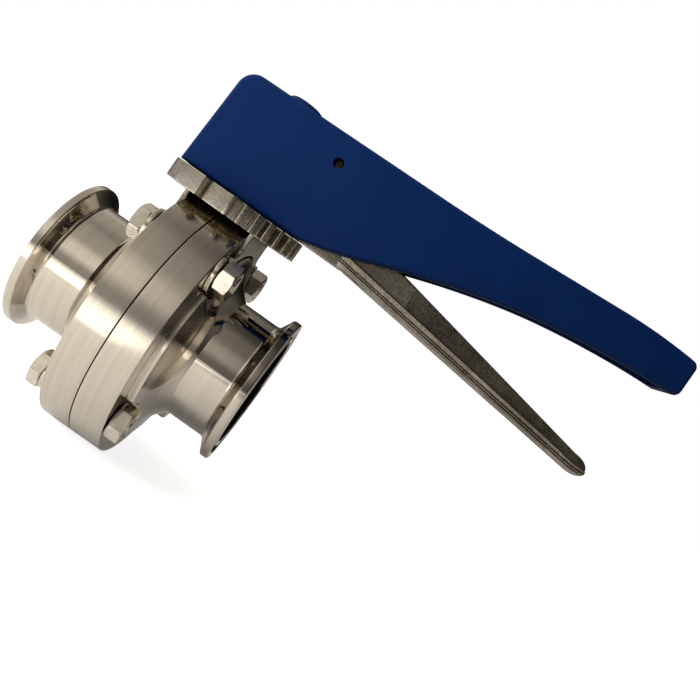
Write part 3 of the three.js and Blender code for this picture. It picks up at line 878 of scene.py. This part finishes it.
def arm_section(x):
    """Half section of the T shaped arm at x, from the bottom middle up to the top middle,
    as (y, z): finger flange with a bead along its parting line, raised lip, then a channel
    under the web."""
    along = (x - ARM_START) / (ARM_END - ARM_START)
    bottom = 46.0 - ARM_BOTTOM_DROP * along
    top = 55.9 - ARM_TOP_DROP * (x - ARM_TOP_START) / (ARM_END - ARM_TOP_START)
    height = 5.0 - 1.4 * along
    wide = 5.6 - 0.7 * along
    web = WEB_HALF - 0.5 * along
    line = bottom + height * 0.5
    lip = bottom + height
    return [
        (0, bottom), (wide - 1.4, bottom), (wide - 0.7, bottom + 0.2), (wide - 0.3, bottom + 0.7),
        (wide - 0.25, line - 0.55), (wide - 0.6, line - 0.35), (wide - 0.1, line - 0.12),
        (wide, line + 0.05), (wide - 0.1, line + 0.22), (wide - 0.75, line + 0.45),
        (wide - 0.35, lip - 0.55), (wide - 0.4, lip - 0.2), (wide - 0.75, lip), (wide - 1.15, lip - 0.25),
        (web + 0.9, lip - 2.1), (web + 0.3, lip - 1.95), (web, lip - 1.2),
        (web, top - 0.6), (web - 0.18, top - 0.18), (web - 0.6, top), (0, top),
    ]


def arm_loft():
    """The arm from its start near the pivot to its rounded tip."""
    stations = [ARM_START + (ARM_END - ARM_START) * i / 40 for i in range(41)]
    sections = [(x, arm_section(x)) for x in stations]
    end = arm_section(ARM_END)
    middle_z = (end[0][1] + end[-1][1]) / 2 - 0.3
    reach = lever_hi[0] - ARM_END
    for i in range(1, 9):
        angle = math.pi / 2 * i / 8.6
        scale = math.cos(angle)
        shrunk = [(y * (0.35 + 0.65 * scale), middle_z + (z - middle_z) * scale) for y, z in end]
        sections.append((ARM_END + reach * math.sin(angle), shrunk))
    loops = []
    for x, half in sections:
        mirrored = [(-y, z) for y, z in reversed(half[1:-1])]
        loops.append([(x, y, z) for y, z in half + mirrored])
    return joined_rings("trigger_lever_cast", loops)


def root_outline():
    """Web round the pivot eye, down to the nose above the notches, back to the arm."""
    top = [(x, arm_section(x)[-1][1]) for x in (60, 54)]
    front = bezier((53, 56), (28, 60), (pin_x + EYE_R, pin_z), 10)
    ring = arc(pin_x, pin_z, EYE_R, 0, 180, 20)[1:]
    nose = lever_lo[2] + NOSE_LIFT
    return [(x, z, 0) for x, z in top + front + ring] + [
        (17.5, 55, 6), (19.2, nose, 0.8), (36, nose, 0), (60, 46, 0),
    ]


def trigger_lever():
    lever = arm_loft()
    web = prism("web", rounded(root_outline()), -WEB_HALF, WEB_HALF, "y", 0.5)
    side = [(2, -EYE_HALF, 0), (EYE_R, -EYE_HALF, 0.4), (EYE_R, EYE_HALF, 0.4), (2, EYE_HALF, 0)]
    eye = [(0, -EYE_HALF), *rounded(side, closed=False), (0, EYE_HALF)]
    join(lever, web, lathe("eye", eye, "y", 64, (pin_x, pin_z)))
    spring_x = (spring_lo[0] + spring_hi[0]) / 2
    seat_r, pip_r = 2.2, 1.25
    side = [(seat_r, 58, 0), (seat_r, 58.6, 0.3), (pip_r, 59.3, 0.4), (pip_r, 61, 0.4), (0.6, 61, 0)]
    seat = [(0, 55), (seat_r, 55), *rounded(side, closed=False), (0, 61)]
    join(lever, lathe("spring_seat", seat, "z", 48, (spring_x, 0)))
    cut(lever, rod("pin_way", PIN_R + 0.08, -7, 7, "y", (pin_x, pin_z)))
    tidy(lever)
    return finished(lever, lever_steel, "cast_steel", "trigger", "trigger_lever")


def trigger_pin():
    """Pin with a small blind hole in either end."""
    low, high = box_mm("trigger_pin")
    start, end = low[1], high[1]
    hole_r = 0.7
    side = [(hole_r, start, 0), (PIN_R, start, 0.4), (PIN_R, end, 0.4), (hole_r, end, 0)]
    profile = [(0, start + 1), (hole_r, start + 1), *rounded(side, closed=False),
               (hole_r, end - 1), (0, end - 1)]
    pin = lathe("trigger_pin_turned", profile, "y", 48, (pin_x, pin_z))
    return finished(pin, pin_steel, "fastener_steel", "handle", "trigger_pin")


def trigger_spring():
    """Compression spring with closed ends, modelled at one length; the real spring shortens as the trigger
    comes up.
    """
    wire, turns, closed = 0.5, 7.5, 1.0
    centre_x = (spring_lo[0] + spring_hi[0]) / 2
    coil = (spring_hi[1] - spring_lo[1]) / 2 - wire
    low, high = spring_lo[2] + wire, spring_hi[2] - wire
    rise = 2.1 * wire
    free = high - low - 2 * (rise * closed)
    steps, sides = int(turns * 30), 12
    loops = []
    for i in range(steps + 1):
        turn = turns * i / steps
        if turn < closed:
            height = low + rise * turn
        elif turn > turns - closed:
            height = high - rise * (turns - turn)
        else:
            height = low + rise * closed + free * (turn - closed) / (turns - 2 * closed)
        angle = TURN * turn
        section = arc(coil, height, wire, 0, 360 * (sides - 1) / sides, sides - 1)
        loops.append([(centre_x + r * math.cos(angle), r * math.sin(angle), z) for r, z in section])
    spring = joined_rings("trigger_spring_coil", loops)
    finished(spring, bolt_steel, "fastener_steel", "handle", "trigger_spring")
    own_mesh(spring)
    return spring


body_half(1)
body_half(-1)
seat_ring()
bushing("upper_bushing")
bushing("lower_bushing")
stem_seal()
disc_and_stem()
index_plate()
handle_body()
screw_cap()
drive_hub()
for fastener_place in BOLT_SPIN:
    flange_fasteners(fastener_place)
head_fasteners()
trigger_lever()
trigger_pin()
trigger_spring()


# ------------------------------------------------------------------ floor, light and camera

FLOOR_WHITE = (0.86, 0.86, 0.86, 1)
FLOOR_GLOW = 0.8
FLOOR_MIRRORED = (0.5, 0.5, 0.5, 1)
# Painted glow of the floor, seen only in reflections: painted light on the steel from below, not a lamp.
FLOOR_MIRRORED_GLOW = 0.16
FLOOR_FAR_GLOW = 0.55
LAMP_COLOUR = (1, 0.94, 0.85)
ROOM_COLOUR = (1.0, 0.93, 0.82, 1)
ROOM_BY_HEIGHT = (
    (0.0, 0.35), (0.18, 0.4), (0.38, 0.95), (0.56, 0.9), (0.72, 0.5), (0.93, 0.42), (1.0, 0.12),
)
ROOM_DARK_SIDE = 0.12
ROOM_DARK_BACK = 0.2


def pale_floor():
    """White table that glows, as painted light. Seen by the camera its glow fades it to the plain white
    background far away. In reflections it is greyer, with a painted glow that is even on the -X side and
    fades towards +X, and a painted bright glow far in front."""
    mesh = bpy.data.meshes.new("floor")
    low = cad_lo.z - 0.0003
    side = 6.0
    corners = [(-side, -side, low), (side, -side, low), (side, side, low), (-side, side, low)]
    mesh.from_pydata(corners, [], [(0, 1, 2, 3)])
    floor = bpy.data.objects.new("floor", mesh)
    bpy.context.scene.collection.objects.link(floor)
    paint = Surface("pale_floor", Roughness=1.0, Specular_IOR_Level=0.0)
    away = paint.node("ShaderNodeVectorMath", {0: paint.place}, operation="LENGTH").outputs["Value"]
    glow = paint.span(away, 0.25, 1.1, FLOOR_GLOW, 1.0)
    seen = paint.node("ShaderNodeLightPath").outputs["Is Camera Ray"]
    along = paint.node("ShaderNodeSeparateXYZ", {0: paint.place}).outputs["X"]
    # Painted glow for reflections only: even on the -X side, fading out towards +X.
    near = paint.span(along, 0.0, 0.16, FLOOR_MIRRORED_GLOW, 0.02)
    # Painted bright glow far in front, also seen only in reflections.
    links = {0: paint.place, 1: (-0.6, -0.8, 0)}
    forwards = paint.node("ShaderNodeVectorMath", links, operation="DOT_PRODUCT").outputs["Value"]
    mirrored = paint.math("ADD", near, paint.span(forwards, 0.5, 1.4, 0.0, FLOOR_FAR_GLOW))
    strength = paint.node("ShaderNodeMix", {0: seen, 2: mirrored, 3: glow}).outputs[0]
    white = paint.mixed(seen, FLOOR_MIRRORED, FLOOR_WHITE)
    paint.set(Base_Color=white, Emission_Color=(1, 1, 1, 1), Emission_Strength=strength)
    mesh.materials.append(paint.material)


def soft_light(name, place, aim, size, power, mirrored):
    """A large lamp. One that isn't mirrored lights the scene but leaves no glare on steel."""
    data = bpy.data.lights.new(name, "AREA")
    data.shape = "RECTANGLE"
    data.size, data.size_y = size
    data.energy = power
    data.color = LAMP_COLOUR
    lamp = bpy.data.objects.new(name, data)
    lamp.location = place
    lamp.rotation_euler = (Vector(aim) - Vector(place)).to_track_quat("-Z", "Y").to_euler()
    lamp.visible_camera = False
    lamp.visible_glossy = mirrored
    bpy.context.scene.collection.objects.link(lamp)


def pale_world():
    """White to the eye. As light and in reflections it is a room that is brightest half way
    up its -X wall and dims towards the ceiling, the +X side and the far end."""
    world = bpy.data.worlds.new("studio")
    world.use_nodes = True
    tree = world.node_tree
    tree.nodes.clear()
    new, link = tree.nodes.new, tree.links.new
    out = new("ShaderNodeOutputWorld")
    seen = new("ShaderNodeBackground")
    seen.inputs["Color"].default_value = (1, 1, 1, 1)
    lit = new("ShaderNodeBackground")
    lit.inputs["Color"].default_value = ROOM_COLOUR
    parts = new("ShaderNodeSeparateXYZ")
    link(new("ShaderNodeTexCoord").outputs["Generated"], parts.inputs[0])
    by_height = new("ShaderNodeValToRGB")
    elements = by_height.color_ramp.elements
    while len(elements) < len(ROOM_BY_HEIGHT):
        elements.new(0.5)
    for element, (height, value) in zip(elements, ROOM_BY_HEIGHT):
        element.position = height
        element.color = (value, value, value, 1)
    link(parts.outputs["Z"], by_height.inputs["Fac"])
    by_side = new("ShaderNodeMapRange")
    by_side.interpolation_type = "SMOOTHSTEP"
    fade = (("From Min", 0.05), ("From Max", -0.35), ("To Min", ROOM_DARK_SIDE), ("To Max", 1.0))
    for key, value in fade:
        by_side.inputs[key].default_value = value
    link(parts.outputs["X"], by_side.inputs["Value"])
    by_depth = new("ShaderNodeMapRange")
    by_depth.interpolation_type = "SMOOTHSTEP"
    fade = (("From Min", 0.6), ("From Max", 0.95), ("To Min", 1.0), ("To Max", ROOM_DARK_BACK))
    for key, value in fade:
        by_depth.inputs[key].default_value = value
    link(parts.outputs["Y"], by_depth.inputs["Value"])
    strength = by_height.outputs["Color"]
    for factor in (by_side, by_depth):
        product = new("ShaderNodeMath")
        product.operation = "MULTIPLY"
        link(strength, product.inputs[0])
        link(factor.outputs["Result"], product.inputs[1])
        strength = product.outputs[0]
    link(strength, lit.inputs["Strength"])
    choice = new("ShaderNodeMixShader")
    link(new("ShaderNodeLightPath").outputs["Is Camera Ray"], choice.inputs["Fac"])
    link(lit.outputs[0], choice.inputs[1])
    link(seen.outputs[0], choice.inputs[2])
    link(choice.outputs[0], out.inputs["Surface"])
    bpy.context.scene.world = world


def photo_camera():
    """Camera a quarter of a metre in front of the valve, rolled so that the pipe slopes."""
    turned_right, tilted_down, rolled = math.radians(0.734), math.radians(3.349), math.radians(35.415)
    data = bpy.data.cameras.new("camera")
    data.lens = 40.2
    data.sensor_width = 36
    data.clip_start = 0.01
    data.clip_end = 50
    camera = bpy.data.objects.new("camera", data)
    heading = Matrix.Rotation(-turned_right, 4, "Z") @ Matrix.Rotation(math.pi / 2 - tilted_down, 4, "X")
    place = Matrix.Translation((0.0504, -0.2414, 0.0418))
    camera.matrix_world = place @ heading @ Matrix.Rotation(rolled, 4, "Z")
    bpy.context.scene.collection.objects.link(camera)
    bpy.context.scene.camera = camera


pale_floor()
pale_world()
table = cad_lo.z
soft_light("overhead", (-0.3, -0.1, 0.9), (0.02, 0, 0), (1.2, 1.2), 6, mirrored=False)
soft_light("bright_table", (-0.37, -0.42, table + 0.001), (-0.37, -0.42, 1), (0.7, 0.6), 1.4, mirrored=True)
soft_light("window", (-0.2, -0.2, 0.16), (-0.01, 0, 0.065), (0.2, 0.2), 1.7, mirrored=False)
photo_camera()
bpy.context.scene.view_settings.view_transform = "Standard"

bpy.context.view_layer.update()
